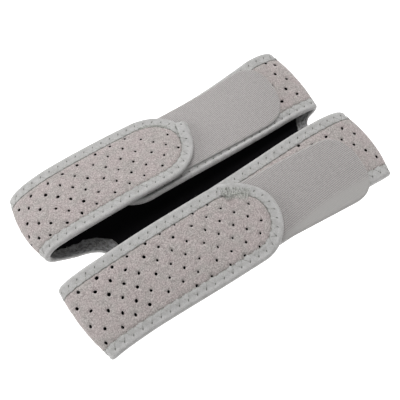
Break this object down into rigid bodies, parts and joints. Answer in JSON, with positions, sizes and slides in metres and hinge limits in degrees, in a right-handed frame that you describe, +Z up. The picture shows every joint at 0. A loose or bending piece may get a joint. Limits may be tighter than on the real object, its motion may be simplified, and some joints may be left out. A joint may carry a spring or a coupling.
{
  "type": "patellar strap",
  "caption": "Knee strap of perforated padded fabric: paired bands on a shared base, each closed as a loop by a round-tipped tab over a hook tape strap, with bound edges.",
  "frame": {"origin": "middle of the base's underside, on the bridge between the two bands, level with the table", "axes": "+X along the bands towards the folded right arms, +Y from the front band to the back band, +Z up"},
  "size_m": [0.2241, 0.1282, 0.0251],
  "materials": {
    "shell_fabric": "matte brushed knit, warm light gray, punched with small round holes",
    "lining_knit": "matte black knit",
    "binding_tape": "matte light gray knit tape, zigzag stitched",
    "hook_tape": "fine ribbed gray woven tape"
  },
  "bodies": {
    "root": {"body_shell": "shell_fabric", "body_lining": "lining_knit", "binding_notch": "binding_tape", "binding_outer": "binding_tape", "hook_strap_back": "hook_tape", "hook_strap_front": "hook_tape"}
  },
  "joints": []
}
